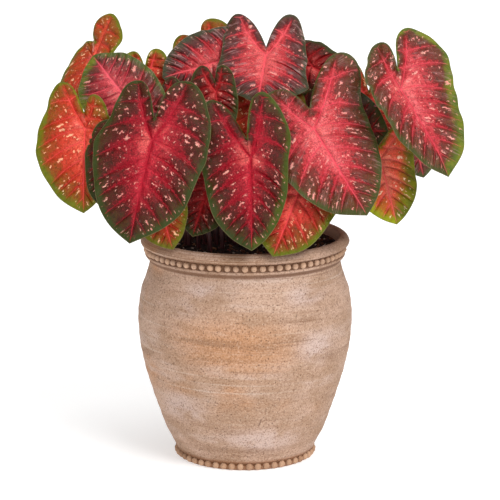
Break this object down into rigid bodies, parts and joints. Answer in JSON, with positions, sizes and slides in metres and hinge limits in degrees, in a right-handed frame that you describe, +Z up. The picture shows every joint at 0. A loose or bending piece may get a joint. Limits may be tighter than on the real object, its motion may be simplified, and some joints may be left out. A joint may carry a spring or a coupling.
{
  "type": "potted house plant",
  "caption": "Bushy aroid house plant with heart-shaped red and green leaves on thin stalks, in a round clay pot with beaded rims.",
  "frame": {"origin": "centre of the flat underside of the pot", "axes": "+Z up along the axis of the pot; -Y faces the viewer of the picture; +X to that viewer's right"},
  "size_m": [0.5543, 0.4113, 0.5925],
  "materials": {
    "pot": "weathered unglazed clay",
    "soil": "crumbly potting soil",
    "blade_front_left": "satin leaf, red with green margin and pale flecks",
    "blade_front_middle": "satin leaf, red with green margin and pale flecks",
    "blade_front_right": "satin leaf, red with green margin and pale flecks",
    "blade_crown": "satin leaf, red with green margin and pale flecks",
    "blade_under_crown": "satin leaf, red with green margin and pale flecks",
    "blade_small_middle": "satin leaf, red with green margin and pale flecks",
    "blade_upper_left": "satin leaf, red with green margin and pale flecks",
    "blade_shoulder_left": "satin leaf, red with green margin and pale flecks",
    "blade_top_left": "satin leaf, red with green margin and pale flecks",
    "blade_far_left": "satin leaf, red with green margin and pale flecks",
    "blade_shaded_left": "satin leaf, red with green margin and pale flecks",
    "blade_rim_left": "satin leaf, red with green margin and pale flecks",
    "blade_rim_middle": "satin leaf, red with green margin and pale flecks",
    "blade_rim_right": "satin leaf, red with green margin and pale flecks",
    "blade_low_right": "satin leaf, red with green margin and pale flecks",
    "blade_far_right": "satin leaf, red with green margin and pale flecks",
    "blade_behind_right": "satin leaf, red with green margin and pale flecks",
    "blade_top_right": "satin leaf, red with green margin and pale flecks",
    "blade_behind_upper_left": "satin leaf, red with green margin and pale flecks",
    "blade_behind_shoulder": "satin leaf, red with green margin and pale flecks",
    "blade_gap_left": "satin leaf, red with green margin and pale flecks",
    "blade_gap_right": "satin leaf, red with green margin and pale flecks",
    "blade_under_far_right": "satin leaf, red with green margin and pale flecks",
    "blade_back_left": "satin leaf, red with green margin and pale flecks",
    "blade_back_right": "satin leaf, red with green margin and pale flecks",
    "blade_back_crown": "satin leaf, red with green margin and pale flecks",
    "blade_back_low_left": "satin leaf, red with green margin and pale flecks",
    "blade_back_low_middle": "satin leaf, red with green margin and pale flecks",
    "blade_back_low_right": "satin leaf, red with green margin and pale flecks",
    "stalk_front_left": "smooth dark stalk",
    "stalk_front_middle": "smooth dark stalk",
    "stalk_front_right": "smooth dark stalk",
    "stalk_crown": "smooth dark stalk",
    "stalk_under_crown": "smooth dark stalk",
    "stalk_small_middle": "smooth dark stalk",
    "stalk_upper_left": "smooth dark stalk",
    "stalk_shoulder_left": "smooth dark stalk",
    "stalk_top_left": "smooth dark stalk",
    "stalk_far_left": "smooth dark stalk",
    "stalk_shaded_left": "smooth dark stalk",
    "stalk_rim_left": "smooth dark stalk",
    "stalk_rim_middle": "smooth dark stalk",
    "stalk_rim_right": "smooth dark stalk",
    "stalk_low_right": "smooth dark stalk",
    "stalk_far_right": "smooth dark stalk",
    "stalk_behind_right": "smooth dark stalk",
    "stalk_top_right": "smooth dark stalk",
    "stalk_behind_upper_left": "smooth dark stalk",
    "stalk_behind_shoulder": "smooth dark stalk",
    "stalk_gap_left": "smooth dark stalk",
    "stalk_gap_right": "smooth dark stalk",
    "stalk_under_far_right": "smooth dark stalk",
    "stalk_back_left": "smooth dark stalk",
    "stalk_back_right": "smooth dark stalk",
    "stalk_back_crown": "smooth dark stalk",
    "stalk_back_low_left": "smooth dark stalk",
    "stalk_back_low_middle": "smooth dark stalk",
    "stalk_back_low_right": "smooth dark stalk"
  },
  "bodies": {
    "root": {"pot": "pot", "soil": "soil", "blade_front_left": "blade_front_left", "blade_front_middle": "blade_front_middle", "blade_front_right": "blade_front_right", "blade_crown": "blade_crown", "blade_under_crown": "blade_under_crown", "blade_small_middle": "blade_small_middle", "blade_upper_left": "blade_upper_left", "blade_shoulder_left": "blade_shoulder_left", "blade_top_left": "blade_top_left", "blade_far_left": "blade_far_left", "blade_shaded_left": "blade_shaded_left", "blade_rim_left": "blade_rim_left", "blade_rim_middle": "blade_rim_middle", "blade_rim_right": "blade_rim_right", "blade_low_right": "blade_low_right", "blade_far_right": "blade_far_right", "blade_behind_right": "blade_behind_right", "blade_top_right": "blade_top_right", "blade_behind_upper_left": "blade_behind_upper_left", "blade_behind_shoulder": "blade_behind_shoulder", "blade_gap_left": "blade_gap_left", "blade_gap_right": "blade_gap_right", "blade_under_far_right": "blade_under_far_right", "blade_back_left": "blade_back_left", "blade_back_right": "blade_back_right", "blade_back_crown": "blade_back_crown", "blade_back_low_left": "blade_back_low_left", "blade_back_low_middle": "blade_back_low_middle", "blade_back_low_right": "blade_back_low_right", "stalk_front_left": "stalk_front_left", "stalk_front_middle": "stalk_front_middle", "stalk_front_right": "stalk_front_right", "stalk_crown": "stalk_crown", "stalk_under_crown": "stalk_under_crown", "stalk_small_middle": "stalk_small_middle", "stalk_upper_left": "stalk_upper_left", "stalk_shoulder_left": "stalk_shoulder_left", "stalk_top_left": "stalk_top_left", "stalk_far_left": "stalk_far_left", "stalk_shaded_left": "stalk_shaded_left", "stalk_rim_left": "stalk_rim_left", "stalk_rim_middle": "stalk_rim_middle", "stalk_rim_right": "stalk_rim_right", "stalk_low_right": "stalk_low_right", "stalk_far_right": "stalk_far_right", "stalk_behind_right": "stalk_behind_right", "stalk_top_right": "stalk_top_right", "stalk_behind_upper_left": "stalk_behind_upper_left", "stalk_behind_shoulder": "stalk_behind_shoulder", "stalk_gap_left": "stalk_gap_left", "stalk_gap_right": "stalk_gap_right", "stalk_under_far_right": "stalk_under_far_right", "stalk_back_left": "stalk_back_left", "stalk_back_right": "stalk_back_right", "stalk_back_crown": "stalk_back_crown", "stalk_back_low_left": "stalk_back_low_left", "stalk_back_low_middle": "stalk_back_low_middle", "stalk_back_low_right": "stalk_back_low_right"}
  },
  "joints": []
}
